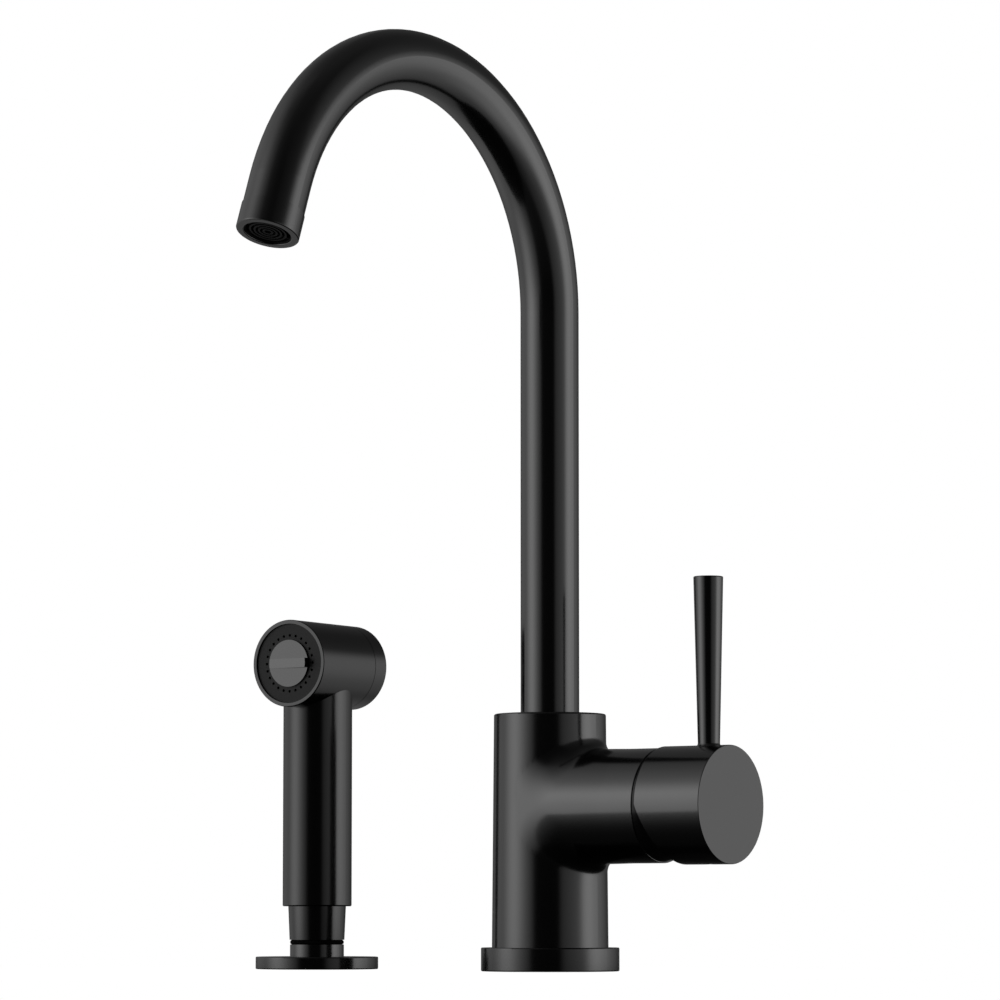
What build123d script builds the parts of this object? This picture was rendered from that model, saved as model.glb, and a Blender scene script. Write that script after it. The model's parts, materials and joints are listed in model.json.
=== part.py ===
from build123d import *
from math import cos, degrees, hypot, radians, sin
import os

# Side spray kitchen faucet: a single-lever mixer with a swivelling gooseneck spout, and a hand
# spray that stands beside it in its own holder. Millimetres, +Z up, spout towards -Y, lever arm
# towards +X. The origin is the centre of the mixer's base ring, on the deck.

os.makedirs("parts", exist_ok=True)

# ---- fits
running_gap = 0.05          # radial gap of a piece that turns or slides in another
seat_gap = 0.1              # radial gap of a piece that is pushed or screwed into a bore
clear_gap = 0.3             # gap between curved faces that only pass each other
past = 1.0                  # how far a cut runs past the face that it opens
joined = 1.0                # how far a solid reaches into the one it is part of

# ---- base ring and gasket
ring_radius = 28.2
ring_height = 9.6
ring_edge = 0.5
ring_skirt = 1.3
gasket_thickness = 1.6
gasket_play = 0.9

# ---- mixer body
body_foot_radius = 23.75
body_top_radius = 22.9
body_height = 104.6
body_edge = 0.8
spigot_radius = 20.5
arm_drop = 38.1             # the arm's axis below the body's top
arm_step = 0.19             # how much slimmer the arm is than the body at its level
arm_lip = 1.6               # the arm's rim past the nut in it
arm_edge = 0.3
junction_fillet = 5.0

# ---- water ways in the body
inlet_x = 9.0
inlet_y = 9.5
thread_m10 = 4.6            # wall radius of an M10 x 1 hose thread
thread_m8 = 3.4             # wall radius of the M8 stud thread
thread_depth = 15.0
inlet_bore = 3.5
stud_x = -13.5
stud_depth = 19.0

# ---- spout tube
tube_radius = 12.0
tube_wall = 1.4
tube_depth = 9.6            # below the body's top
spout_rise = 165.2          # the bend's start above the body's top
bend_radius = 91.1
bend_turn = 160.0
outlet_straight = 11.8
socket_depth = 27.6         # below the body's top
nipple_gap = 0.6
nipple_bore = 8.0
nipple_spigot = 8.0
oring_section = 0.9
oring_rises = (3.2, 8.2)    # above the nipple's foot
stop_drop = 3.5             # the stop screw below the tube's end
stop_groove_depth = 1.6
swing_limit = 60.0
stop_screw_radius = 2.0
stop_screw_length = 8.0
key_share = 0.6             # hexagon sockets of the screws, as a share of the thread

# ---- aerator at the outlet
sleeve_step = 0.3
sleeve_length = 10.0
sleeve_edge = 0.5
mouth_edge = 0.4
sleeve_thread_length = 5.0
mouth_wall = 1.35
screen_recess = 0.8
screen_thickness = 1.6
screen_rings = 5
screen_ring_width = 0.75
spoke_sink = 0.6            # the spokes behind the face of the rings
core_length = 6.0
inner_hole_count = 6
outer_hole_count = 12
inner_hole_circle = 3.4
outer_hole_inset = 2.55
core_hole_radius = 1.0
washer_thickness = 1.5
washer_width = 2.2

# ---- diverter under the spout
diverter_bore = 7.0
diverter_foot = 5.0         # the bore's floor below the port
sleeve_wall = 1.75
sleeve_floor = 2.0
diverter_lip = 0.5
diverter_flange_thickness = 1.2
diverter_neck = 3.4
diverter_neck_height = 4.0
diverter_ring_section = 0.55
diverter_ring_drop = 1.5
poppet_travel = 2.4
poppet_stem = 1.4
poppet_water_gap = 0.55
poppet_disc_thickness = 2.0
guide_thickness = 1.2
guide_hole_radius = 1.0
groove_room = 1.3           # half width of a seal's groove, in seal sections

# ---- cartridge in the arm, distances along the arm from the body's axis
chamber_floor = 22.0
cartridge_radius = 17.4
housing_wall = 1.5
base_lift = 0.3
base_thickness = 5.7
port_seal_thickness = 1.3
port_seal_width = 1.0
port_radius = 2.3
inlet_port_rise = 2.5
inlet_port_side = 5.5
outlet_port_drop = 5.5
fixed_disc_radius = 13.9
fixed_disc_thickness = 4.0
fixed_disc_sink = 2.5
moving_disc_radius = 11.4
moving_disc_thickness = 3.5
mixing_pocket = 5.0
carrier_width = 18.0
carrier_length = 9.6
peg_radius = 1.2
peg_depth = 1.4
peg_inset = 2.5
turret_clear = 0.2
turret_height = 12.8
turret_slot_headroom = 0.8
turret_neck = 10.6
neck_length = 9.5
housing_flange = 2.1
nut_radius = 20.0
nut_play = 0.7
nut_thickness = 6.1
nut_slot = 3.0
nut_rim = 4.0

# ---- lever mechanism
pivot_rise = 5.0            # the pivot past the turret's shoulder
pivot_pin_radius = 1.5
pin_inset = 0.3
tilt_limit = 25.0
stem_width = 7.0
stem_shoulder = 4.5         # the square stem's end behind the pivot
stem_in_hub = 5.4
stem_leg = 1.8
ball_radius = 2.8
ball_play = 0.08
ball_arm = 10.0

# ---- dome cover and handle
dome_wall = 1.8
dome_mouth = 14.0
dome_collar_wall = 1.8
dome_web = 1.2
cap_step = 0.65             # how much wider the cap is than the arm
cap_gap = 1.8               # between the arm's end and the cap
cap_length = 30.6
cap_front_wall = 3.0
cap_wall = 1.3
cap_edge = 0.3
cap_cut_depth = 9.0
hub_radius = 8.0
hub_length = 13.8
lever_place = 20.1          # the lever past the cap's rear
lever_foot_radius = 4.39
lever_top_radius = 5.98
lever_reach = 91.2          # the lever's top above the arm's axis
lever_edge = 0.5
lever_flare = 0.8
lever_sink = 1.1
lever_boss = 5.2
boss_inset = 0.2
shank_radius = 2.5
shank_length = 14.0
grub_radius = 2.0
grub_length = 6.0
grub_relief = 2.0

# ---- spray holder on the deck
spray_x = -121.3
spray_heading = 3.3         # the hand spray's turn in its holder, in degrees from -Y towards +X
flange_radius = 25.9
flange_height = 5.2
flange_edge = 0.5
collar_wall = 1.55
collar_height = 5.1
seat_ring_thickness = 2.0
seat_ring_step = 0.05
seat_ring_round = 0.9         # how much of the ring's thickness its two outer edges take up
holder_thread = 12.0
holder_thread_depth = 2.4
foot_clear = 0.5
foot_step = 0.3
holder_gasket_thickness = 1.2
holder_gasket_edge = 1.5
bush_wall = 0.75
bush_foot_thickness = 1.2

# ---- hand spray
nut_height = 14.1
nut_foot_radius = 11.6
nut_top_radius = 12.2
nut_spigot_radius = 9.0
hose_bore = 5.5
washer_step = 0.5
nut_thread = 9.5
nut_thread_depth = 10.4
hose_washer_thickness = 1.5
grip_radius = 14.6
grip_length = 102.0         # from the nut to the head's axis
grip_wall = 2.0
grip_edge = 0.6
adaptor_flange = 5.6
adaptor_floor = 1.5
adaptor_bore = 5.0
adaptor_wall = 1.45
check_valve_lift = 0.5
check_valve_length = 9.0
check_hole_radius = 0.9
tube_spigot = 5.0
water_tube_radius = 5.5
water_tube_wall = 1.0
tube_in_valve = 4.0
valve_way = 2.5
head_front_radius = 18.4
head_back_radius = 17.9
head_front = 21.5           # in front of the grip's axis
head_back = 25.7            # behind the grip's axis
head_wall = 1.55
head_edge = 0.4
back_cap_length = 8.4
back_cap_edge = 0.5
back_spigot_length = 4.0
head_seam = 0.3
face_ledge = 0.4
face_recess = 0.8
face_thickness = 2.5
face_gasket_width = 2.4
face_gasket_thickness = 1.2
nozzle_count = 24
nozzle_circle = 11.8
nozzle_radius = 0.6
disc_radius = 9.9
disc_thickness = 0.9
tab_height = 3.9
tab_start = 0.05
tab_rise = 2.1
disc_screw_radius = 2.5
valve_front = 6.0           # in front of the grip's axis
valve_back = 14.0           # behind the grip's axis
valve_flange_thickness = 3.0
valve_stem = 2.9
valve_head = 5.2
valve_head_thickness = 1.5
valve_seal_thickness = 1.5
button_radius = 12.9
button_length = 8.5
button_proud = 3.5
button_wall = 2.0
button_edge = 1.2
button_travel = 3.0
spring_mean_radius = 5.0
spring_wire = 0.35
spring_turns = 6
spring_sink = 3.0

# ---- worked-out sizes of the mixer
upright = (Align.CENTER, Align.CENTER, Align.MIN)
gasket_bore = spigot_radius + gasket_play
gasket_radius = ring_radius - ring_skirt - seat_gap
arm_axis_z = body_height - arm_drop
arm_share = (arm_axis_z - ring_height) / (body_height - ring_height)
arm_radius = body_foot_radius + arm_share * (body_top_radius - body_foot_radius) - arm_step
tube_bore = tube_radius - tube_wall
tube_low = body_height - tube_depth
bend_low = body_height + spout_rise
socket_bore = tube_radius + seat_gap
socket_low = body_height - socket_depth
nipple_low = socket_low + diverter_flange_thickness + nipple_gap
oring_levels = [nipple_low + rise for rise in oring_rises]
stop_level = tube_low - stop_drop

# ---- worked-out distances along the arm
disc_seat = chamber_floor + base_lift + base_thickness - fixed_disc_sink
fixed_disc_top = disc_seat + fixed_disc_thickness
moving_disc_top = fixed_disc_top + moving_disc_thickness
turret_low = moving_disc_top + turret_clear
turret_top = turret_low + turret_height
neck_end = turret_top + neck_length
carrier_top = moving_disc_top + carrier_length
pivot_distance = turret_top + pivot_rise
ball_distance = pivot_distance - ball_arm
housing_low = chamber_floor + base_lift + base_thickness
housing_bore = cartridge_radius - housing_wall
housing_shoulder = turret_top + turret_clear
housing_top = housing_shoulder + housing_flange
nut_bore = turret_neck + nut_play
nut_face = housing_top + nut_thickness
arm_end = nut_face + arm_lip
cap_radius = arm_radius + cap_step
cap_bore = cap_radius - cap_wall
cap_rear = arm_end + cap_gap
cap_face = cap_rear + cap_length
cap_back_wall = cap_face - cap_front_wall
hub_rear = cap_face - hub_length
stem_end = hub_rear + stem_in_hub
lever_x = cap_rear + lever_place
lever_top_z = arm_axis_z + lever_reach
dome_radius = hypot(cap_bore - clear_gap, cap_rear - pivot_distance)

# ---- worked-out levels of the diverter
diverter_low = arm_axis_z - outlet_port_drop - diverter_foot
diverter_sleeve_low = diverter_low + past
diverter_sleeve_radius = diverter_bore - seat_gap
diverter_inner = diverter_sleeve_radius - sleeve_wall
sleeve_floor_top = diverter_sleeve_low + sleeve_floor
neck_low = socket_low + diverter_flange_thickness - diverter_neck_height
poppet_disc = diverter_inner - poppet_water_gap
poppet_top = neck_low - poppet_travel - seat_gap
poppet_low = poppet_top - poppet_disc_thickness
diverter_ring_level = poppet_low - diverter_ring_drop

# ---- worked-out sizes at the outlet, distances from the end of the bend
sleeve_radius = tube_radius + sleeve_step
mouth_radius = tube_bore - mouth_wall
insert_radius = mouth_radius + clear_gap
sleeve_start = outlet_straight
sleeve_end = outlet_straight + sleeve_length
screen_face = sleeve_end - screen_recess
core_face = screen_face - screen_thickness
core_back = core_face - core_length

# ---- worked-out sizes of the spray
bush_bore = nut_spigot_radius + running_gap
bush_outer = bush_bore + bush_wall
bush_hole = bush_outer + running_gap
collar_radius = bush_hole + collar_wall
collar_top = flange_height + collar_height
seat_ring_radius = collar_radius - seat_ring_step
seat_ring_top = collar_top + seat_ring_thickness
foot_low = holder_thread_depth + foot_clear
foot_top = foot_low + bush_foot_thickness
foot_pocket = holder_thread - foot_step
web_low = foot_top + running_gap
holder_gasket_radius = flange_radius - holder_gasket_edge
holder_gasket_bore = holder_thread + holder_gasket_edge
nut_top_z = seat_ring_top + nut_height
nut_thread_low = nut_top_z - nut_thread_depth
washer_bore = hose_bore + washer_step
washer_top = nut_thread_low + hose_washer_thickness
adaptor_top = nut_top_z + adaptor_flange
tube_inside = water_tube_radius - water_tube_wall
grip_bore = grip_radius - grip_wall
head_axis_z = nut_top_z + grip_length
head_bore = head_back_radius - head_wall
face_radius = head_bore + face_ledge
face_front = -head_front + face_recess
face_back = face_front + face_thickness
seam_back = head_back - back_cap_length
seam_front = seam_back - head_seam
valve_radius = button_radius
button_bore = button_radius + seat_gap
button_out = head_back + button_proud
button_front = button_out - button_length
valve_foot_z = head_axis_z - valve_radius
spring_groove_floor = valve_back - spring_sink - button_travel - clear_gap


# ---- basic shapes
def rod(radius, low, high):
    """Round bar about the Z axis, from one level to another."""
    return Pos(0, 0, low) * Cylinder(radius, high - low, align=upright)


def tube(outer, inner, low, high):
    """Round tube about the Z axis."""
    return rod(outer, low, high) - rod(inner, low - past, high + past)


def turned(*points):
    """Solid of revolution about the Z axis from (radius, height) points."""
    return revolve(Plane.XZ * make_face(Polyline(*points, close=True)), Axis.Z)


def ring(mean_radius, section, level):
    """Round rubber ring lying flat at a level."""
    return Pos(0, 0, level) * Torus(mean_radius, section)


def seal_groove(shaft_radius, floor, section, level):
    """Ring of material to cut away for a seal that sits round a shaft."""
    half = groove_room * section
    return tube(shaft_radius + past, floor, level - half, level + half)


def around(count, radius):
    """Places spread evenly on a circle."""
    return PolarLocations(radius, count)


# ---- frames of the parts of the faucet
def on_arm(shape):
    """+Z of the shape runs out along the arm, and its -X points up."""
    return Pos(0, 0, arm_axis_z) * Rot(0, 90, 0) * shape


def on_outlet(shape):
    """+Z of the shape runs out of the spout's mouth, from the end of the bend."""
    turn = radians(bend_turn)
    bend_end_y = -bend_radius * (1 - cos(turn))
    bend_end_z = bend_low + bend_radius * sin(turn)
    return Pos(0, bend_end_y, bend_end_z) * Rot(bend_turn, 0, 0) * shape


def at_spray(shape):
    """The shape stands on the deck at the spray's place."""
    return Pos(spray_x, 0, 0) * Rot(0, 0, spray_heading) * shape


def on_head(shape):
    """+Z of the shape runs to the back of the spray head, and its -Y points up."""
    return at_spray(Pos(0, 0, head_axis_z) * Rot(-90, 0, 0) * shape)


def save(name, shape):
    """Write one piece."""
    shape.label = name
    export_step(shape, f"parts/{name}.step")


def group(solids):
    """Several like pieces as one node."""
    return Compound(children=list(solids))


# ---- deck side of the mixer
def make_base_ring():
    bore = spigot_radius + seat_gap
    skirt = gasket_radius + seat_gap
    blank = turned(
        (bore, gasket_thickness),
        (skirt, gasket_thickness),
        (skirt, 0),
        (ring_radius, 0),
        (ring_radius, ring_height),
        (bore, ring_height),
    )
    rims = blank.edges().filter_by(GeomType.CIRCLE).group_by(SortBy.RADIUS)[-1]
    return fillet(rims, ring_edge)


def make_base_gasket():
    return tube(gasket_radius, gasket_bore, 0, gasket_thickness)


def make_mixer_body():
    shell = turned(
        (0, 0),
        (spigot_radius, 0),
        (spigot_radius, ring_height),
        (body_foot_radius, ring_height),
        (body_top_radius, body_height),
        (0, body_height),
    )
    blank = shell + on_arm(rod(arm_radius, 0, arm_end))
    plain = (GeomType.LINE, GeomType.CIRCLE)
    blank = fillet([e for e in blank.edges() if e.geom_type not in plain], junction_fillet)
    top_rim = blank.edges().filter_by(GeomType.CIRCLE).sort_by(Axis.Z)[-1]
    blank = fillet(top_rim, body_edge)
    arm_rim = blank.edges().filter_by(GeomType.CIRCLE).sort_by(Axis.X)[-1]
    blank = fillet(arm_rim, arm_edge)

    # bores on the vertical axis: spout socket, diverter, spray outlet
    blank -= rod(socket_bore, socket_low, body_height + past)
    blank -= rod(diverter_bore, diverter_low, socket_low + past)
    blank -= rod(inlet_bore, thread_depth - past, diverter_low + past)
    blank -= rod(thread_m10, -past, thread_depth)

    # hot and cold inlets from below, and the stud hole
    inlet_top = arm_axis_z + inlet_port_rise + inlet_bore
    for side in (-1, 1):
        place = Pos(inlet_x, side * inlet_y, 0)
        blank -= place * rod(thread_m10, -past, thread_depth)
        blank -= place * rod(inlet_bore, thread_depth - past, inlet_top)
    blank -= Pos(stud_x, 0, 0) * rod(thread_m8, -past, stud_depth)

    # cartridge chamber, its thread, and the ways from its floor
    blank -= on_arm(rod(cartridge_radius + seat_gap, chamber_floor, arm_end + past))
    blank -= on_arm(rod(nut_radius + seat_gap, housing_top, arm_end + past))
    hot, cold, mixed = port_places()
    for place in (hot, cold):
        blank -= on_arm(place * rod(port_radius, inlet_x - past, chamber_floor + past))
    blank -= on_arm(mixed * rod(port_radius, diverter_inner, chamber_floor + past))

    # stop screw hole at the back
    return blank - stop_hole(stop_screw_radius, socket_bore - past, body_foot_radius + past)


def stop_hole(radius, start, end):
    """Round bar that points to the back at the level of the stop screw."""
    return Pos(0, 0, stop_level) * Rot(-90, 0, 0) * rod(radius, start, end)


def hexagon_socket(screw_radius):
    """Key socket of a headless screw, from its end face inwards along +Z."""
    return extrude(RegularPolygon(screw_radius * key_share, 6), screw_radius * 1.6)


def make_spout_stop_screw():
    tip = tube_radius - stop_groove_depth + clear_gap
    end = tip + stop_screw_length
    screw = stop_hole(stop_screw_radius, tip, end)
    return screw - Pos(0, end, stop_level) * Rot(90, 0, 0) * hexagon_socket(stop_screw_radius)


# ---- spout
def make_spout_tube():
    straight = Line((0, 0, tube_low), (0, 0, bend_low))
    bend = Plane((0, -bend_radius, bend_low), x_dir=(0, 1, 0), z_dir=(1, 0, 0)) * CenterArc(
        (0, 0), bend_radius, 0, bend_turn
    )
    end = Line(bend @ 1, bend @ 1 + outlet_straight * (bend % 1))
    path = Wire([straight, bend, end])
    outer = sweep(Plane.XY.offset(tube_low) * Circle(tube_radius), path)
    inner = sweep(Plane.XY.offset(tube_low) * Circle(tube_bore), path)
    return outer - inner


def make_spout_nipple():
    spigot_top = tube_low + nipple_spigot
    nipple = tube(tube_radius, nipple_bore, nipple_low, tube_low)
    nipple += tube(tube_bore - running_gap, nipple_bore, tube_low - joined, spigot_top)
    groove_floor = tube_radius - 2 * oring_section + running_gap
    for level in oring_levels:
        nipple -= seal_groove(tube_radius, groove_floor, oring_section, level)
    half_height = stop_screw_radius + seat_gap
    side_angle = degrees(half_height / (tube_radius - stop_groove_depth))
    sweep_half = swing_limit + side_angle
    slot_profile = Pos(tube_radius, 0, stop_level) * Rot(90, 0, 0) * Rectangle(
        2 * stop_groove_depth, 2 * half_height
    )
    slot = revolve(slot_profile, Axis.Z, 2 * sweep_half)
    return nipple - Rot(0, 0, 90 - sweep_half) * slot


def make_nipple_orings():
    mean = tube_radius - oring_section + running_gap
    return group(ring(mean, oring_section, level) for level in oring_levels)


# ---- aerator
def make_aerator_sleeve():
    back = sleeve_start - sleeve_thread_length
    blank = rod(sleeve_radius, sleeve_start, sleeve_end)
    blank = fillet(blank.edges().filter_by(GeomType.CIRCLE).sort_by(Axis.Z)[-1], sleeve_edge)
    blank += rod(tube_bore - seat_gap, back, sleeve_start + joined)
    blank -= rod(insert_radius + running_gap, back - past, screen_face)
    blank -= rod(mouth_radius, screen_face - past, sleeve_end + past)
    face_edges = blank.edges().filter_by(GeomType.CIRCLE).group_by(Axis.Z)[-1]
    return on_outlet(fillet(face_edges.sort_by(SortBy.RADIUS)[0], mouth_edge))


def make_aerator_screen():
    screen = tube(insert_radius, insert_radius - screen_ring_width, core_face, screen_face)
    pitch = insert_radius / (screen_rings + 0.5)
    for number in range(1, screen_rings):
        outer = pitch * number + screen_ring_width / 2
        screen += tube(outer, outer - screen_ring_width, core_face, screen_face)
    spoke_face = screen_face - spoke_sink
    spoke = Pos(0, 0, (core_face + spoke_face) / 2) * Box(
        2 * insert_radius - screen_ring_width, screen_ring_width, spoke_face - core_face
    )
    for turn in (0, 60, 120):
        screen += Rot(0, 0, turn) * spoke
    return on_outlet(screen)


def make_aerator_core():
    core = rod(insert_radius, core_back, core_face)
    hole = rod(core_hole_radius, core_back - past, core_face + past)
    for place in around(inner_hole_count, inner_hole_circle):
        core -= place * hole
    for place in around(outer_hole_count, insert_radius - outer_hole_inset):
        core -= place * hole
    return on_outlet(core)


def make_aerator_washer():
    bore = insert_radius - washer_width
    return on_outlet(tube(insert_radius, bore, core_back - washer_thickness, core_back))


# ---- diverter
def make_diverter_sleeve():
    flange_top = socket_low + diverter_flange_thickness
    sleeve = rod(diverter_sleeve_radius, diverter_sleeve_low, socket_low)
    sleeve += rod(tube_radius - diverter_lip, socket_low, flange_top)
    sleeve -= rod(diverter_inner, sleeve_floor_top, neck_low)
    sleeve -= rod(diverter_neck, diverter_sleeve_low - past, flange_top + past)
    mixed = port_places()[2]
    sleeve -= on_arm(mixed * rod(port_radius, 0, diverter_bore + past))
    groove_floor = diverter_bore - 2 * diverter_ring_section - running_gap
    return sleeve - seal_groove(diverter_bore, groove_floor, diverter_ring_section, diverter_ring_level)


def make_diverter_ring():
    mean = diverter_bore - diverter_ring_section - running_gap / 2
    return ring(mean, diverter_ring_section, diverter_ring_level)


def make_poppet_stem():
    stem = rod(poppet_stem, sleeve_floor_top + seat_gap, poppet_low)
    guide_low = poppet_low - guide_thickness
    guide = rod(diverter_inner - running_gap, guide_low, poppet_low)
    middle = (poppet_stem + diverter_inner) / 2
    for place in around(4, middle):
        guide -= place * rod(guide_hole_radius, guide_low - past, poppet_low + past)
    return stem + guide


def make_poppet_disc():
    return rod(poppet_disc, poppet_low, poppet_top)


# ---- cartridge
def port_places():
    """Where the hot, cold and mixed water cross the chamber's floor, in the arm's frame."""
    hot, cold = (Pos(-inlet_port_rise, side * inlet_port_side, 0) for side in (1, -1))
    return hot, cold, Pos(outlet_port_drop, 0, 0)


def ports(low, high, radius=port_radius):
    """The three water ways as bars along the arm."""
    return [place * rod(radius, low, high) for place in port_places()]


def make_cartridge_base():
    low = chamber_floor + base_lift
    base = rod(cartridge_radius, low, low + base_thickness)
    base -= rod(fixed_disc_radius + seat_gap, disc_seat, low + base_thickness + past)
    for bar in ports(low - past, disc_seat + past):
        base -= bar
    seal_top = chamber_floor + port_seal_thickness
    for bar in ports(low - past, seal_top, port_radius + port_seal_width):
        base -= bar
    return on_arm(base)


def make_port_seals():
    top = chamber_floor + port_seal_thickness
    outer = ports(chamber_floor, top, port_radius + port_seal_width)
    inner = ports(chamber_floor - past, top + past)
    return group(on_arm(full - way) for full, way in zip(outer, inner))


def make_fixed_disc():
    disc = rod(fixed_disc_radius, disc_seat, fixed_disc_top)
    for bar in ports(disc_seat - past, fixed_disc_top + past):
        disc -= bar
    return on_arm(disc)


def make_moving_disc():
    disc = rod(moving_disc_radius, fixed_disc_top, moving_disc_top)
    pocket_top = fixed_disc_top + moving_disc_thickness - peg_depth
    disc -= Pos(mixing_pocket, 0, 0) * rod(mixing_pocket, fixed_disc_top - past, pocket_top)
    for bar in peg_bars(peg_radius + running_gap):
        disc -= bar
    return on_arm(disc)


def peg_bars(radius):
    """The two pegs that lock the carrier to the moving disc."""
    aside = carrier_width / 2 - peg_inset
    bar = rod(radius, moving_disc_top - peg_depth, moving_disc_top + joined)
    return [Pos(0, side * aside, 0) * bar for side in (-1, 1)]


def make_disc_carrier():
    carrier = rod(moving_disc_radius, moving_disc_top, carrier_top)
    middle = (moving_disc_top + carrier_top) / 2
    flats = carrier_width - 2 * running_gap
    carrier &= Pos(0, 0, middle) * Box(4 * moving_disc_radius, flats, carrier_length + past)
    for bar in peg_bars(peg_radius):
        carrier += bar
    cup_low = ball_distance - ball_radius - clear_gap
    carrier -= rod(ball_radius + ball_play, cup_low, carrier_top + past)
    return on_arm(carrier)


def make_cartridge_housing():
    wall = tube(cartridge_radius, housing_bore, housing_low, housing_top)
    lid = tube(cartridge_radius, turret_neck + 2 * running_gap, housing_shoulder, housing_top)
    return on_arm(wall + lid)


def make_retaining_nut():
    nut = tube(nut_radius, nut_bore, housing_top, nut_face)
    slot = Pos(0, 0, nut_face) * Box(2 * (nut_radius + past), nut_slot, nut_slot)
    outside = tube(nut_radius + past, nut_bore + nut_rim, nut_face - nut_slot, nut_face + past)
    return on_arm(nut - (slot & outside))


def make_turret():
    turret = rod(housing_bore - running_gap, turret_low, turret_top)
    turret += rod(turret_neck, turret_top, neck_end)
    slot_top = carrier_top + turret_slot_headroom
    turret -= Pos(0, 0, turret_low - past) * Box(
        4 * housing_bore, carrier_width, slot_top - turret_low + past, align=upright
    )
    slot_length = 2 * (ball_arm * sin(radians(tilt_limit)) + ball_radius + clear_gap)
    turret -= Pos(0, 0, slot_top - past) * Box(
        slot_length, stem_width + 4 * running_gap, neck_end - slot_top + 2 * past, align=upright
    )
    turret -= pivot_bar(pivot_pin_radius, turret_neck + past)
    return on_arm(turret)


def pivot_bar(radius, half_length):
    """Bar across the arm through the pivot, in the arm's own frame."""
    return Pos(0, 0, pivot_distance) * Rot(90, 0, 0) * rod(radius, -half_length, half_length)


def make_pivot_pin():
    return on_arm(pivot_bar(pivot_pin_radius, turret_neck - pin_inset))


# ---- lever, handle cap and dome
def make_lever_stem():
    square_low = pivot_distance - stem_shoulder
    stem = Pos(0, 0, square_low) * Box(
        stem_width, stem_width, stem_end - square_low, align=upright
    )
    stem += rod(stem_leg, ball_distance, square_low + joined)
    stem += Pos(0, 0, ball_distance) * Sphere(ball_radius)
    stem -= pivot_bar(pivot_pin_radius + running_gap, stem_width)
    return on_arm(stem)


def make_dome_cover():
    ball = Pos(0, 0, pivot_distance) * Sphere(dome_radius)
    hollow = Pos(0, 0, pivot_distance) * Sphere(dome_radius - dome_wall)
    dome_front = pivot_distance + dome_radius
    dome = (ball - hollow) & rod(dome_radius + past, arm_end, dome_front)
    dome -= rod(dome_mouth, arm_end, dome_front + past)
    collar_bore = nut_radius - dome_collar_wall
    dome += ball & tube(dome_radius, collar_bore, arm_end, arm_end + dome_web)
    dome += tube(nut_radius, collar_bore, nut_face, arm_end + dome_web)
    return on_arm(dome)


def make_lever_rod():
    foot_z = arm_axis_z + cap_radius - lever_sink
    rod_body = turned(
        (0, foot_z), (lever_foot_radius, foot_z), (lever_top_radius, lever_top_z), (0, lever_top_z)
    )
    top_rim = rod_body.edges().filter_by(GeomType.CIRCLE).sort_by(Axis.Z)[-1]
    rod_body = fillet(top_rim, lever_edge)
    rod_body += rod(shank_radius, foot_z - shank_length, foot_z + joined)
    cap_top = arm_axis_z + cap_radius
    flare = turned(
        (0, cap_top - lever_flare),
        (lever_foot_radius + 1.2 * lever_flare, cap_top - lever_flare),
        (lever_foot_radius + 0.25 * lever_flare, cap_top + 0.2 * lever_flare),
        (lever_foot_radius, cap_top + lever_flare),
        (0, cap_top + lever_flare),
    )
    skirt = Pos(lever_x, 0, 0) * flare - on_arm(rod(cap_radius, cap_rear, cap_face))
    return Pos(lever_x, 0, 0) * rod_body + skirt


def make_handle_cap(lever):
    cap = on_arm(rod(cap_radius, cap_rear, cap_face))
    face_rim = cap.edges().filter_by(GeomType.CIRCLE).sort_by(Axis.X)[-1]
    cap = fillet(face_rim, cap_edge)
    cap -= on_arm(rod(cap_bore, cap_rear - past, cap_back_wall))
    cap += on_arm(rod(hub_radius, hub_rear, cap_back_wall + joined))
    boss = Pos(lever_x, 0, arm_axis_z) * rod(lever_boss, 0, cap_radius)
    cap += boss & on_arm(rod(cap_radius - boss_inset, cap_rear, cap_face))
    socket = stem_width + 2 * running_gap
    socket_start = lever_x - lever_boss - past
    depth = stem_end + seat_gap - socket_start
    cap -= on_arm(Pos(0, 0, socket_start) * Box(socket, socket, depth, align=upright))

    # the lower half of the rear rim is cut back at a slant, so the cap clears the arm as it tilts
    low = cap_radius + past
    slope = cap_cut_depth / cap_radius
    wedge = Polyline(
        (cap_rear - past, arm_axis_z),
        (cap_rear, arm_axis_z),
        (cap_rear + slope * low, arm_axis_z - low),
        (cap_rear - past, arm_axis_z - low),
        close=True,
    )
    cap -= extrude(Plane.XZ * make_face(wedge), cap_radius + past, both=True)

    # grub screw hole from below
    below = Pos(lever_x, 0, arm_axis_z) * Rot(180, 0, 0)
    cap -= below * rod(grub_radius, stem_width / 2, hub_radius + grub_relief)
    cap -= below * rod(grub_radius + clear_gap, hub_radius + grub_relief, cap_radius + past)
    return cap - lever


def make_handle_screw():
    low = stem_width / 2
    screw = rod(grub_radius, low, low + grub_length)
    key = Pos(0, 0, low + grub_length) * Rot(180, 0, 0) * hexagon_socket(grub_radius)
    return Pos(lever_x, 0, arm_axis_z) * Rot(180, 0, 0) * (screw - key)


# ---- spray holder
def make_holder_flange():
    blank = rod(flange_radius, 0, flange_height)
    rims = blank.edges().filter_by(GeomType.CIRCLE)
    blank = fillet(rims, flange_edge)
    blank += rod(collar_radius, flange_height - joined, collar_top)
    blank -= rod(holder_thread, -past, holder_thread_depth)
    blank -= rod(foot_pocket, 0, web_low)
    blank -= rod(bush_hole, 0, collar_top + past)
    outer = holder_gasket_radius + seat_gap
    inner = holder_gasket_bore - seat_gap
    return at_spray(blank - tube(outer, inner, -past, holder_gasket_thickness))


def make_holder_gasket():
    return at_spray(tube(holder_gasket_radius, holder_gasket_bore, 0, holder_gasket_thickness))


def make_seat_ring():
    blank = tube(seat_ring_radius, bush_hole, collar_top, seat_ring_top)
    rims = blank.edges().filter_by(GeomType.CIRCLE).group_by(SortBy.RADIUS)[-1]
    return at_spray(fillet(rims, 0.5 * seat_ring_round * seat_ring_thickness))


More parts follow.
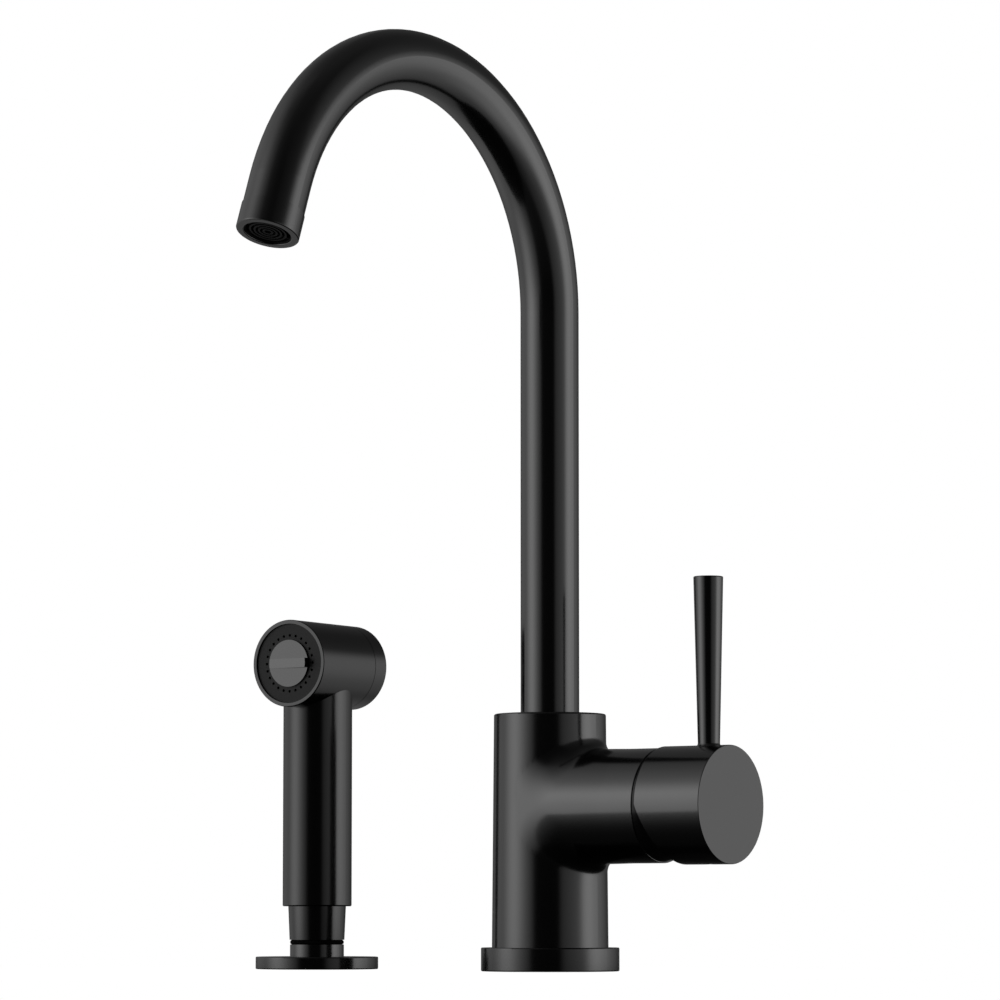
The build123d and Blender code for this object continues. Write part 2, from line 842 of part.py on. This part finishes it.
def make_guide_bush():
    bush = tube(bush_outer, bush_bore, foot_low, collar_top)
    bush += tube(foot_pocket - clear_gap, bush_bore, foot_low, foot_top)
    return at_spray(bush)


# ---- hand spray
def make_cone_nut():
    nut = turned(
        (0, seat_ring_top),
        (nut_foot_radius, seat_ring_top),
        (nut_top_radius, nut_top_z),
        (0, nut_top_z),
    )
    nut += rod(nut_spigot_radius, foot_low, seat_ring_top + joined)
    nut -= rod(hose_bore, 0, nut_top_z + past)
    nut -= rod(nut_thread, nut_thread_low, nut_top_z + past)
    return at_spray(nut)


def make_hose_washer():
    return at_spray(tube(nut_thread - seat_gap, washer_bore, nut_thread_low, washer_top))


def make_spray_adaptor():
    spigot = tube_inside - running_gap
    spigot_top = adaptor_top + tube_spigot
    adaptor = rod(nut_thread - running_gap, washer_top, nut_top_z + joined)
    adaptor += rod(grip_bore - running_gap, nut_top_z, adaptor_top)
    adaptor += rod(spigot, adaptor_top - joined, spigot_top)
    adaptor -= rod(adaptor_bore, washer_top - past, adaptor_top - adaptor_floor)
    adaptor -= rod(spigot - adaptor_wall, washer_top, spigot_top + past)
    return at_spray(adaptor)


def make_check_valve():
    low = washer_top + check_valve_lift
    high = low + check_valve_length
    valve = rod(adaptor_bore - running_gap, low, high)
    for place in around(4, adaptor_bore / 2):
        valve -= place * rod(check_hole_radius, low - past, high + past)
    return at_spray(valve)


def make_water_tube():
    return at_spray(tube(water_tube_radius, tube_inside, adaptor_top, valve_foot_z + tube_in_valve))


def make_spray_grip():
    blank = rod(grip_radius, nut_top_z, head_axis_z)
    foot_rim = blank.edges().filter_by(GeomType.CIRCLE).sort_by(Axis.Z)[0]
    blank = fillet(foot_rim, grip_edge)
    blank -= rod(grip_bore, nut_top_z - past, head_axis_z + past)
    return at_spray(blank) - head_outline()


def head_radius(distance):
    """Outer radius of the head, at a distance behind the grip's axis."""
    share = (distance + head_front) / (head_front + head_back)
    return head_front_radius + share * (head_back_radius - head_front_radius)


def head_outline():
    """The whole head as a solid taper."""
    return on_head(
        turned(
            (0, -head_front),
            (head_front_radius, -head_front),
            (head_back_radius, head_back),
            (0, head_back),
        )
    )


def make_spray_head():
    shell = turned(
        (0, -head_front),
        (head_front_radius, -head_front),
        (head_radius(seam_front), seam_front),
        (0, seam_front),
    )
    rim = shell.edges().filter_by(GeomType.CIRCLE).sort_by(Axis.Z)[0]
    shell = fillet(rim, head_edge)
    shell -= rod(head_bore, -head_front - past, seam_front + past)
    shell -= rod(face_radius, -head_front - past, face_back)
    neck = Rot(90, 0, 0) * rod(water_tube_radius + clear_gap, -head_front_radius - past, 0)
    return on_head(shell - neck)


def make_back_cap():
    cap = turned(
        (button_bore, seam_back),
        (head_radius(seam_back), seam_back),
        (head_back_radius, head_back),
        (button_bore, head_back),
    )
    rim = cap.edges().filter_by(GeomType.CIRCLE).group_by(Axis.Z)[-1].sort_by(SortBy.RADIUS)[-1]
    cap = fillet(rim, back_cap_edge)
    cap += tube(head_bore - running_gap, button_bore, seam_back - back_spigot_length, seam_back)
    return on_head(cap)


def make_spray_face():
    face = rod(face_radius - seat_gap, face_front, face_back)
    for place in around(nozzle_count, nozzle_circle):
        face -= place * rod(nozzle_radius, face_front - past, face_back + past)
    face -= rod(disc_screw_radius, face_front - past, face_back + past)
    return on_head(face)


def make_face_gasket():
    outer = head_bore - seat_gap
    return on_head(tube(outer, outer - face_gasket_width, face_back, face_back + face_gasket_thickness))


def make_centre_disc():
    front = face_front - disc_thickness
    middle = face_front - disc_thickness / 2
    disc = rod(disc_radius, front, face_front)
    disc += rod(disc_screw_radius - running_gap, front, face_back + joined)

    # finger tab: a bar across the disc that rises from flush at one end to proud at the other
    profile = Polyline(
        (-disc_radius, middle),
        (-disc_radius, front - tab_start),
        (disc_radius, front - tab_rise),
        (disc_radius, middle),
        close=True,
    )
    tab = extrude(Plane.XZ * make_face(profile), tab_height / 2, both=True)
    tab &= rod(disc_radius, front - tab_rise - past, face_front)
    return on_head(disc + tab)


# ---- spray valve and button
def make_valve_body():
    body = rod(valve_radius, -valve_front, valve_back)
    body += rod(head_bore - running_gap, -valve_front, -valve_front + valve_flange_thickness)
    body -= rod(valve_stem + running_gap, -valve_front - past, valve_back + past)
    body -= tube(
        spring_mean_radius + spring_wire + clear_gap,
        spring_mean_radius - spring_wire - clear_gap,
        spring_groove_floor,
        valve_back + past,
    )
    socket_top = valve_foot_z + tube_in_valve
    socket = rod(water_tube_radius + running_gap, head_axis_z - head_bore - past, socket_top)
    way = rod(valve_way, valve_foot_z, head_axis_z)
    return on_head(body) - at_spray(socket + way)


def make_button_stem():
    head_back_face = -valve_front - valve_seal_thickness
    stem = rod(valve_stem, head_back_face - valve_head_thickness, button_out - button_wall)
    stem += rod(valve_head, head_back_face - valve_head_thickness, head_back_face)
    return on_head(stem)


def make_valve_seal():
    low = -valve_front - valve_seal_thickness
    return on_head(tube(valve_head - clear_gap, valve_stem, low, -valve_front))


def make_spray_button():
    button = rod(button_radius, button_front, button_out)
    rim = button.edges().filter_by(GeomType.CIRCLE).sort_by(Axis.Z)[-1]
    button = fillet(rim, button_edge)
    button -= rod(button_radius - button_wall, button_front - past, button_out - button_wall)
    return on_head(button)


def make_button_spring():
    low = valve_back - spring_sink + spring_wire
    high = button_out - button_wall - spring_wire
    pitch = (high - low) / spring_turns
    path = Pos(0, 0, low) * Helix(pitch, high - low, spring_mean_radius)
    wire = sweep(Plane(path @ 0, z_dir=path % 0) * Circle(spring_wire), path, is_frenet=True)
    return on_head(wire)


# ---- write every piece
lever = make_lever_rod()

save("mixer_body", make_mixer_body())
save("base_ring", make_base_ring())
save("base_gasket", make_base_gasket())
save("spout_stop_screw", make_spout_stop_screw())

save("spout_tube", make_spout_tube())
save("spout_nipple", make_spout_nipple())
save("nipple_orings", make_nipple_orings())
save("aerator_sleeve", make_aerator_sleeve())
save("aerator_screen", make_aerator_screen())
save("aerator_core", make_aerator_core())
save("aerator_washer", make_aerator_washer())

save("diverter_sleeve", make_diverter_sleeve())
save("diverter_ring", make_diverter_ring())
save("poppet_stem", make_poppet_stem())
save("poppet_disc", make_poppet_disc())

save("cartridge_base", make_cartridge_base())
save("port_seals", make_port_seals())
save("fixed_disc", make_fixed_disc())
save("moving_disc", make_moving_disc())
save("disc_carrier", make_disc_carrier())
save("cartridge_housing", make_cartridge_housing())
save("retaining_nut", make_retaining_nut())
save("turret", make_turret())
save("pivot_pin", make_pivot_pin())

save("lever_stem", make_lever_stem())
save("dome_cover", make_dome_cover())
save("lever_rod", lever)
save("handle_cap", make_handle_cap(lever))
save("handle_screw", make_handle_screw())

save("holder_flange", make_holder_flange())
save("holder_gasket", make_holder_gasket())
save("seat_ring", make_seat_ring())
save("guide_bush", make_guide_bush())

save("cone_nut", make_cone_nut())
save("hose_washer", make_hose_washer())
save("spray_adaptor", make_spray_adaptor())
save("check_valve", make_check_valve())
save("water_tube", make_water_tube())
save("spray_grip", make_spray_grip())
save("spray_head", make_spray_head())
save("back_cap", make_back_cap())
save("spray_face", make_spray_face())
save("face_gasket", make_face_gasket())
save("centre_disc", make_centre_disc())
save("valve_body", make_valve_body())
save("button_stem", make_button_stem())
save("valve_seal", make_valve_seal())
save("spray_button", make_spray_button())
save("button_spring", make_button_spring())
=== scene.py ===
import json
import math

import bmesh
import bpy
import numpy as np
from mathutils import Matrix, Vector


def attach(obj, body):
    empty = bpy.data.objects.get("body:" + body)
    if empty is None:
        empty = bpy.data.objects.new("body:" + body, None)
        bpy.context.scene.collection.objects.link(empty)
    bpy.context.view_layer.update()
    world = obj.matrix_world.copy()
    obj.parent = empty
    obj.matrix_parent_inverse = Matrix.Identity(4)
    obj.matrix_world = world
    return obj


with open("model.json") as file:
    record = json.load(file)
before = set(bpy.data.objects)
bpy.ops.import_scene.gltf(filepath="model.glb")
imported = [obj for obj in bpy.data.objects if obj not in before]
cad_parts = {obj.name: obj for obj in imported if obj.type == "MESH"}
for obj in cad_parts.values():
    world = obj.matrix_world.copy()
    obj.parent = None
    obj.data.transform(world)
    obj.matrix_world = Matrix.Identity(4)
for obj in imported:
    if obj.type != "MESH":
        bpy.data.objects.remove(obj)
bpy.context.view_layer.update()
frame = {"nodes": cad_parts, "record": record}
nodes = frame["nodes"]
MM = 0.001


# ---- camera: a long lens low over the deck, turned round the faucet and looking up a little
CAMERA_TURN = math.radians(35.58)  # round the faucet, from straight in front towards the lever
CAMERA_AIM = math.radians(0.636)  # to the left of the faucet's axis
CAMERA_RISE = math.radians(5.231)
CAMERA_AWAY, CAMERA_HIGH = 1.84138, 0.024
SENSOR_WIDTH, LENS = 36, 162
CLIP_NEAR, CLIP_FAR = 0.05, 50


def make_camera():
    """The camera at its turn round the faucet, with its axes worked out from where it looks."""
    ahead = CAMERA_TURN + CAMERA_AIM
    level = Vector((-math.sin(ahead), math.cos(ahead), 0))
    right = Vector((level.y, -level.x, 0))
    look = level * math.cos(CAMERA_RISE) + Vector((0, 0, math.sin(CAMERA_RISE)))
    up = right.cross(look)
    data = bpy.data.cameras.new("camera")
    data.sensor_width = SENSOR_WIDTH
    data.lens = LENS
    data.clip_start, data.clip_end = CLIP_NEAR, CLIP_FAR
    camera = bpy.data.objects.new("camera", data)
    place = Matrix((right, up, -look)).transposed().to_4x4()
    place.translation = (math.sin(CAMERA_TURN) * CAMERA_AWAY,
                         -math.cos(CAMERA_TURN) * CAMERA_AWAY, CAMERA_HIGH)
    camera.matrix_world = place
    bpy.context.collection.objects.link(camera)
    bpy.context.scene.camera = camera


make_camera()
bpy.context.scene.view_settings.view_transform = "Standard"


# ---- studio: white to the camera; in what the metal mirrors, a dark room with soft lights
# degrees round from the camera, negative to its left, and the side light's brightness there
LEFT_ROUND = [
    (-180, 0.08), (-155, 0.11), (-145, 0.25), (-135, 0.42), (-125, 0.58), (-115, 0.74),
    (-108, 0.86), (-101, 1.25), (-94, 1.90), (-87, 2.55), (-80, 3.00), (-72, 3.02), (-65, 2.58),
    (-58, 1.93), (-50, 1.22), (-42, 0.72), (-36, 0.40), (-32, 0.07), (-27, 0.0), (0, 0.0),
]
RIGHT_ROUND = [
    (0, 0.0), (16, 0.0), (21, 0.24), (26, 0.44), (35, 0.58), (45, 0.74), (54, 0.92), (60, 1.25),
    (66, 2.15), (72, 3.00), (80, 3.28), (88, 3.02), (96, 2.38), (104, 1.82), (112, 1.26),
    (120, 0.78), (130, 0.44), (140, 0.23), (150, 0.07), (180, 0.04),
]
# degrees up from level, and the share of that brightness there
LEFT_UP = [
    (-84, 0.0), (-72, 0.05), (-60, 0.10), (-48, 0.18), (-36, 0.37), (-26, 0.57), (-12, 0.76),
    (0, 0.97), (6, 1.05), (12, 1.13), (20, 1.14), (28, 0.80), (36, 0.40), (44, 0.22), (54, 0.10),
    (66, 0.0),
]
RIGHT_UP = [
    (-70, 0.0), (-62, 0.02), (-54, 0.12), (-46, 0.30), (-36, 0.50), (-24, 0.60), (-12, 0.88),
    (0, 1.0), (10, 1.0), (14, 0.84), (18, 0.46), (22, 0.17), (30, 0.11), (42, 0.06), (58, 0.0),
]
# the soft light that reaches over from the left
OVER_ROUND = [
    (-180, 0.05), (-150, 0.15), (-128, 0.50), (-113, 0.90), (-98, 1.0), (-83, 0.80), (-68, 0.55),
    (-53, 0.50), (-38, 0.30), (-20, 0.10), (0, 0.0),
]
OVER_UP = [(22, 0.0), (36, 0.46), (48, 0.52), (60, 0.30), (72, 0.14), (90, 0.03)]
# the paler room low down, past the floor's rim, and the faint light of the room all round
LOW_ROUND = [
    (-180, 0.30), (-158, 0.40), (-143, 0.60), (-128, 0.78), (-113, 0.78), (-98, 0.66), (-83, 0.50),
    (-53, 0.45), (-38, 0.35), (-26, 0.05), (0, 0.02), (40, 0.05), (52, 0.20), (82, 0.30),
    (97, 0.36), (112, 0.34), (127, 0.36), (142, 0.16), (157, 0.24), (172, 0.29), (180, 0.30),
]
LOW_UP = [
    (-90, 0.40), (-72, 0.85), (-60, 1.0), (-48, 0.96), (-36, 0.78), (-24, 0.55), (-12, 0.22),
    (0, 0.05),
]
ROOM_UP = [(-90, 0.09), (-12, 0.04), (0, 0.02), (12, 0.04), (36, 0.06), (60, 0.09), (90, 0.14)]
# what no stop of a side light's tables goes over; the other tables keep to 1
ROUND_MOST, UP_MOST = 4, 2


def maths(tree, operation, first, second):
    """One operation on two numbers, each a number or the socket that gives it."""
    made = tree.nodes.new("ShaderNodeMath")
    made.operation = operation
    for place, given in zip(made.inputs, (first, second)):
        if isinstance(given, bpy.types.NodeSocket):
            tree.links.new(given, place)
        else:
            place.default_value = given
    return made.outputs[0]


def along(tree, direction, axis):
    """How far a direction points along an axis."""
    made = tree.nodes.new("ShaderNodeVectorMath")
    made.operation = "DOT_PRODUCT"
    made.inputs[1].default_value = axis
    tree.links.new(direction, made.inputs[0])
    return made.outputs["Value"]


def looked_up(tree, angle, stops, most=1):
    """The brightness at an angle, straight between (degrees, brightness) stops. The ramp holds
    each stop as its share of the most, and its answer is multiplied by the most again."""
    first, last = stops[0][0], stops[-1][0]
    span = tree.nodes.new("ShaderNodeMapRange")
    span.inputs["From Min"].default_value = math.radians(first)
    span.inputs["From Max"].default_value = math.radians(last)
    tree.links.new(angle, span.inputs["Value"])
    ramp = tree.nodes.new("ShaderNodeValToRGB")
    marks = ramp.color_ramp.elements
    for at, _ in stops[1:-1]:
        marks.new((at - first) / (last - first))
    for mark, (_, level) in zip(marks, stops):
        mark.color = (level / most,) * 3 + (1,)
    tree.links.new(span.outputs["Result"], ramp.inputs["Fac"])
    return maths(tree, "MULTIPLY", ramp.outputs["Color"], most)


def soft_light(tree, turn, rise, round_stops, up_stops, round_most=1, up_most=1):
    """A light's brightness in a direction: its level at that turn times its share at that rise."""
    return maths(tree, "MULTIPLY", looked_up(tree, turn, round_stops, round_most),
                 looked_up(tree, rise, up_stops, up_most))


def seen_straight(tree, path):
    """1 for what the camera sees straight or through glass, and 0 for what the metal mirrors."""
    return maths(tree, "MAXIMUM", path.outputs["Is Camera Ray"],
                 path.outputs["Is Transmission Ray"])


def surroundings():
    """White where the camera looks past the faucet; the metal mirrors the soft lights."""
    world = bpy.data.worlds.new("surroundings")
    bpy.context.scene.world = world
    world.use_nodes = True
    tree = world.node_tree
    tree.nodes.clear()
    out = tree.nodes.new("ShaderNodeOutputWorld")
    back = tree.nodes.new("ShaderNodeBackground")
    path = tree.nodes.new("ShaderNodeLightPath")
    where = tree.nodes.new("ShaderNodeTexCoord").outputs["Generated"]
    towards = along(tree, where, (math.sin(CAMERA_TURN), -math.cos(CAMERA_TURN), 0))
    across = along(tree, where, (math.cos(CAMERA_TURN), math.sin(CAMERA_TURN), 0))
    turn = maths(tree, "ARCTAN2", across, towards)
    rise = maths(tree, "ARCSINE", along(tree, where, (0, 0, 1)), 0)
    left = soft_light(tree, turn, rise, LEFT_ROUND, LEFT_UP, ROUND_MOST, UP_MOST)
    right = soft_light(tree, turn, rise, RIGHT_ROUND, RIGHT_UP, ROUND_MOST, UP_MOST)
    over = soft_light(tree, turn, rise, OVER_ROUND, OVER_UP)
    is_right = maths(tree, "GREATER_THAN", across, 0)
    is_left = maths(tree, "SUBTRACT", 1, is_right)
    sides = maths(tree, "ADD", maths(tree, "MULTIPLY", maths(tree, "ADD", left, over), is_left),
                  maths(tree, "MULTIPLY", right, is_right))
    low = soft_light(tree, turn, rise, LOW_ROUND, LOW_UP)
    room = maths(tree, "ADD", low, looked_up(tree, rise, ROOM_UP))
    light = maths(tree, "ADD", sides, room)
    seen = seen_straight(tree, path)
    unseen = maths(tree, "SUBTRACT", 1, seen)
    strength = maths(tree, "ADD", seen, maths(tree, "MULTIPLY", unseen, light))
    back.inputs["Color"].default_value = (1, 1, 1, 1)
    tree.links.new(strength, back.inputs["Strength"])
    tree.links.new(back.outputs[0], out.inputs["Surface"])


surroundings()


FLOOR_RADIUS, FLOOR_X, FLOOR_Y, FLOOR_Z = 0.22, -0.03, -0.08, -0.0002
FLOOR_POINTS = 96
# the floor's near-black colour, seen only in what the metal mirrors, is painted shade for the
# shaded floor round the faucet
FLOOR_PAINTED_SHADE, FLOOR_IOR, FLOOR_ROUGHNESS = 0.02, 1.5, 0.15


def make_floor():
    """A level round floor, points spaced evenly round one circle: plain white to the camera, dark
    and glossy where the metal mirrors it; that darkness is painted shade, standing for the shaded
    floor round the faucet."""
    angles = np.linspace(0, 2 * np.pi, FLOOR_POINTS, endpoint=False)
    rim = np.stack([FLOOR_X + FLOOR_RADIUS * np.cos(angles),
                    FLOOR_Y + FLOOR_RADIUS * np.sin(angles), np.full(FLOOR_POINTS, FLOOR_Z)], 1)
    mesh = bpy.data.meshes.new("floor")
    mesh.from_pydata(rim.tolist(), [], [tuple(range(FLOOR_POINTS))])
    floor = bpy.data.objects.new("floor", mesh)
    bpy.context.collection.objects.link(floor)
    paint = bpy.data.materials.new("pale_floor_painted_shade")
    paint.use_nodes = True
    tree = paint.node_tree
    tree.nodes.clear()
    out = tree.nodes.new("ShaderNodeOutputMaterial")
    path = tree.nodes.new("ShaderNodeLightPath")
    glow = tree.nodes.new("ShaderNodeEmission")
    tree.links.new(seen_straight(tree, path), glow.inputs["Strength"])
    matt = tree.nodes.new("ShaderNodeBsdfDiffuse")
    # painted shade: near-black to mirrored rays, while the glow keeps the floor white to the camera
    matt.inputs["Color"].default_value = (FLOOR_PAINTED_SHADE,) * 3 + (1,)
    shown = tree.nodes.new("ShaderNodeAddShader")
    tree.links.new(glow.outputs[0], shown.inputs[0])
    tree.links.new(matt.outputs[0], shown.inputs[1])
    sheen = tree.nodes.new("ShaderNodeFresnel")
    sheen.inputs["IOR"].default_value = FLOOR_IOR
    polish = tree.nodes.new("ShaderNodeBsdfGlossy")
    polish.inputs["Roughness"].default_value = FLOOR_ROUGHNESS
    mirrored = tree.nodes.new("ShaderNodeMixShader")
    tree.links.new(maths(tree, "MULTIPLY", sheen.outputs[0], path.outputs["Is Glossy Ray"]),
                   mirrored.inputs["Fac"])
    tree.links.new(shown.outputs[0], mirrored.inputs[1])
    tree.links.new(polish.outputs[0], mirrored.inputs[2])
    tree.links.new(mirrored.outputs[0], out.inputs["Surface"])
    mesh.materials.append(paint)


make_floor()


# ---- the blend where the arm leaves the body, in millimetres until its mesh is made
BODY_FOOT, BODY_TOP, RING_TOP, BODY_HIGH = 23.75, 22.9, 9.6, 104.6
ARM_LEVEL, ARM_RADIUS = 66.5, 23.05
LEAN = (BODY_FOOT - BODY_TOP) / (BODY_HIGH - RING_TOP)
BODY_THERE = BODY_TOP + LEAN * (BODY_HIGH - ARM_LEVEL)
BLEND_SIDE, BLEND_FRONT = 5.3, 12.0  # radius at the outer side, and at the front and back
BLEND_END = 44  # where the skin ends along the arm
SUNK, RISEN = 0.02, 0.35  # how deep the skin starts under the metal, and the swing it rises over
DIVE_LONG, DIVE_DEEP = 2.4, 0.45  # how its end on the body dives out of sight
SKIN_THICK = 0.6
ROUND_POINTS, SWING_POINTS, DIVE_POINTS, ARM_POINTS = 121, 25, 9, 13
QUARTER = np.pi / 2
SAME_POINT, NO_AREA = 1e-6, 1e-7  # metres


def eased(share):
    """0 to 1 with level ends: 3 s^2 - 2 s^3."""
    share = np.clip(share, 0, 1)
    return share * share * (3 - 2 * share)


def corner_radius(round_body):
    """The blend's radius at an angle round the body: least at the outer side, most at the front
    and back, and between them by the angle's cosine squared."""
    return BLEND_SIDE + (BLEND_FRONT - BLEND_SIDE) * np.cos(round_body) ** 2


def blend_sheet(side):
    """Upper (side 1) or lower (side -1) half: at each angle round the body, a line on the body that
    dives under it by a square law, a quarter circle into the corner, and a line along the arm,
    eased from the body's radius to the arm's."""
    turn = np.linspace(0, np.pi, ROUND_POINTS)[:, None]
    radius = corner_radius(turn)
    corner = BODY_THERE * np.sin(turn)
    swing = np.linspace(0, QUARTER, SWING_POINTS)[None, :]
    fill = eased(swing / QUARTER)
    out = corner + radius * (1 - np.cos(swing))
    rise = corner + radius * (1 - np.sin(swing))
    sunk = SUNK * (1 - eased(swing / RISEN))
    here = BODY_THERE - side * LEAN * rise
    round_radius = here * (1 - fill) + BODY_THERE * fill - sunk
    out = out + (here - BODY_THERE) * np.sin(turn) * (1 - fill) - sunk * np.sin(turn)
    arc = np.stack([out, -round_radius * np.cos(turn), ARM_LEVEL + side * rise], -1)

    along_body = np.linspace(1, 0, DIVE_POINTS)[None, :-1]
    rise = corner + radius + along_body * DIVE_LONG
    here = BODY_THERE - side * LEAN * rise - SUNK - DIVE_DEEP * along_body ** 2
    upright = np.stack([here * np.sin(turn), -here * np.cos(turn), ARM_LEVEL + side * rise], -1)

    along_arm = np.linspace(0, 1, ARM_POINTS)[None, 1:]
    out = corner + radius + along_arm * (BLEND_END - corner - radius)
    slim = BODY_THERE + (ARM_RADIUS - SUNK - BODY_THERE) * eased(along_arm)
    across = np.stack([out, -slim * np.cos(turn), ARM_LEVEL + side * slim * np.sin(turn)], -1)
    return np.concatenate([upright, arc, across], 1)


def blend_web(front):
    """The even patch between both halves' quarter circles, at the front (1) or the back (-1): at
    each swing into the corner, a straight line from the lower circle to the upper one."""
    radius = corner_radius(0.0)
    swing = np.linspace(0, QUARTER, SWING_POINTS)[:, None]
    level = np.linspace(-1, 1, SWING_POINTS)[None, :] * radius * (1 - np.sin(swing))
    out = radius * (1 - np.cos(swing)) + 0 * level
    fill = eased(swing / QUARTER)
    here = (BODY_THERE - LEAN * level) * (1 - fill) + BODY_THERE * fill
    here = here - SUNK * (1 - eased(swing / RISEN))
    return np.stack([out, -front * here, ARM_LEVEL + level], -1)


def grid_faces(rows, columns, first):
    """Four-cornered faces of a grid of points, numbered from first."""
    at = first + np.arange(rows * columns).reshape(rows, columns)
    return np.stack([at[:-1, :-1], at[1:, :-1], at[1:, 1:], at[:-1, 1:]], -1).reshape(-1, 4)


def arm_blend():
    """Thin skin over the body's and the arm's corner, whose edges run just under their surfaces."""
    grids = [blend_sheet(1), blend_sheet(-1), blend_web(1), blend_web(-1)]
    points, faces, count = [], [], 0
    for grid in grids:
        faces.append(grid_faces(*grid.shape[:2], count))
        points.append(grid.reshape(-1, 3))
        count += len(points[-1])
    mesh = bpy.data.meshes.new("arm_blend")
    mesh.from_pydata((np.concatenate(points) * MM).tolist(), [], np.concatenate(faces).tolist())
    shape = bmesh.new()
    shape.from_mesh(mesh)
    bmesh.ops.remove_doubles(shape, verts=shape.verts, dist=SAME_POINT)
    bmesh.ops.dissolve_degenerate(shape, edges=shape.edges, dist=NO_AREA)
    bmesh.ops.recalc_face_normals(shape, faces=shape.faces)
    shape.to_mesh(mesh)
    shape.free()
    mesh.shade_smooth()
    piece = bpy.data.objects.new("arm_blend", mesh)
    bpy.context.collection.objects.link(piece)
    skin = piece.modifiers.new("skin", "SOLIDIFY")
    skin.thickness = SKIN_THICK * MM
    skin.offset = -1
    return piece


arm_skin = arm_blend()


# ---- finishes
MOTTLE_SCALE, MOTTLE_DETAIL, GRAIN_DETAIL = 60, 3, 2
ROUGHNESS_SWING, GRAIN_STRENGTH = 0.04, 0.3
# colour, roughness, metal, specular level, grain's width and depth in metres, mottle
FINISHES = {
    "satin_black": ((0.0006, 0.0006, 0.0006), 0.17, 0, 0.5, 0.0004, 0.000004, 0.2),
    # the satin black again with a lower specular level: painted shade, the spray's shell lit more
    # dimly than the body
    "spray_black_painted_shade": ((0.0006, 0.0006, 0.0006), 0.19, 0, 0.37, 0.0004, 0.000004, 0.2),
    "black_face": ((0.005, 0.005, 0.005), 0.5, 0, 0.13, 0.0005, 0.00002, 0.2),
    "dark_screen": ((0.003, 0.003, 0.003), 0.4, 0, 0.06, 0.0005, 0.00001, 0.2),
    "rubber": ((0.002, 0.002, 0.002), 0.9, 0, 0.05, 0.0006, 0.00003, 0.2),
    "brass": ((0.62, 0.43, 0.18), 0.35, 1, 0.5, 0.0006, 0.00002, 0.1),
    "steel": ((0.55, 0.55, 0.55), 0.3, 1, 0.5, 0.0006, 0.00002, 0.1),
    "white_plastic": ((0.75, 0.75, 0.73), 0.4, 0, 0.5, 0.0008, 0.00002, 0.05),
    "ceramic": ((0.8, 0.79, 0.75), 0.25, 0, 0.5, 0.0008, 0.00001, 0.05),
}
# pieces that show another finish than their slot's; the spray's shell gets a copy of satin_black
# with less gloss, painted shade for the dimmer light that fell on it
SPRAY_SHELL = ("spray_grip", "spray_head", "back_cap", "cone_nut")
AERATOR_INSIDE = ("aerator_screen", "aerator_core")


def finish(name, colour, roughness, metal, level, grain, grain_depth, mottle):
    """Painted, moulded or machined surface: an even colour with a faint mottle, and a fine grain
    that roughens it."""
    made = bpy.data.materials.new(name)
    made.use_nodes = True
    tree = made.node_tree
    shader = tree.nodes["Principled BSDF"]
    where = tree.nodes.new("ShaderNodeTexCoord")
    cloud = tree.nodes.new("ShaderNodeTexNoise")
    cloud.inputs["Scale"].default_value = MOTTLE_SCALE
    cloud.inputs["Detail"].default_value = MOTTLE_DETAIL
    tree.links.new(where.outputs["Object"], cloud.inputs["Vector"])
    shade = tree.nodes.new("ShaderNodeMix")
    shade.data_type = "RGBA"
    low = [c * (1 - mottle) for c in colour]
    high = [min(1, c * (1 + mottle)) for c in colour]
    shade.inputs["A"].default_value = (*low, 1)
    shade.inputs["B"].default_value = (*high, 1)
    tree.links.new(cloud.outputs["Fac"], shade.inputs["Factor"])
    tree.links.new(shade.outputs["Result"], shader.inputs["Base Color"])
    fine = tree.nodes.new("ShaderNodeTexNoise")
    fine.inputs["Scale"].default_value = 1 / grain
    fine.inputs["Detail"].default_value = GRAIN_DETAIL
    tree.links.new(where.outputs["Object"], fine.inputs["Vector"])
    rough = tree.nodes.new("ShaderNodeMapRange")
    rough.inputs["To Min"].default_value = roughness - ROUGHNESS_SWING
    rough.inputs["To Max"].default_value = roughness + ROUGHNESS_SWING
    tree.links.new(fine.outputs["Fac"], rough.inputs["Value"])
    tree.links.new(rough.outputs["Result"], shader.inputs["Roughness"])
    bump = tree.nodes.new("ShaderNodeBump")
    bump.inputs["Strength"].default_value = GRAIN_STRENGTH
    bump.inputs["Distance"].default_value = grain_depth
    tree.links.new(fine.outputs["Fac"], bump.inputs["Height"])
    tree.links.new(bump.outputs["Normal"], shader.inputs["Normal"])
    shader.inputs["Metallic"].default_value = metal
    shader.inputs["Specular IOR Level"].default_value = level
    return made


finishes = {name: finish(name, *values) for name, values in FINISHES.items()}
finishes["black_rubber"] = finishes["rubber"]  # its slot's name in the record
for part in frame["record"]["subparts"]:
    for place in nodes[part["node"]].material_slots:
        place.material = finishes[part["material_slot"]]
for pieces, name in ((SPRAY_SHELL, "spray_black_painted_shade"), (AERATOR_INSIDE, "dark_screen")):
    for piece in pieces:
        nodes[piece].material_slots[0].material = finishes[name]

arm_skin.data.materials.append(finishes["satin_black"])
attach(arm_skin, "deck_set")
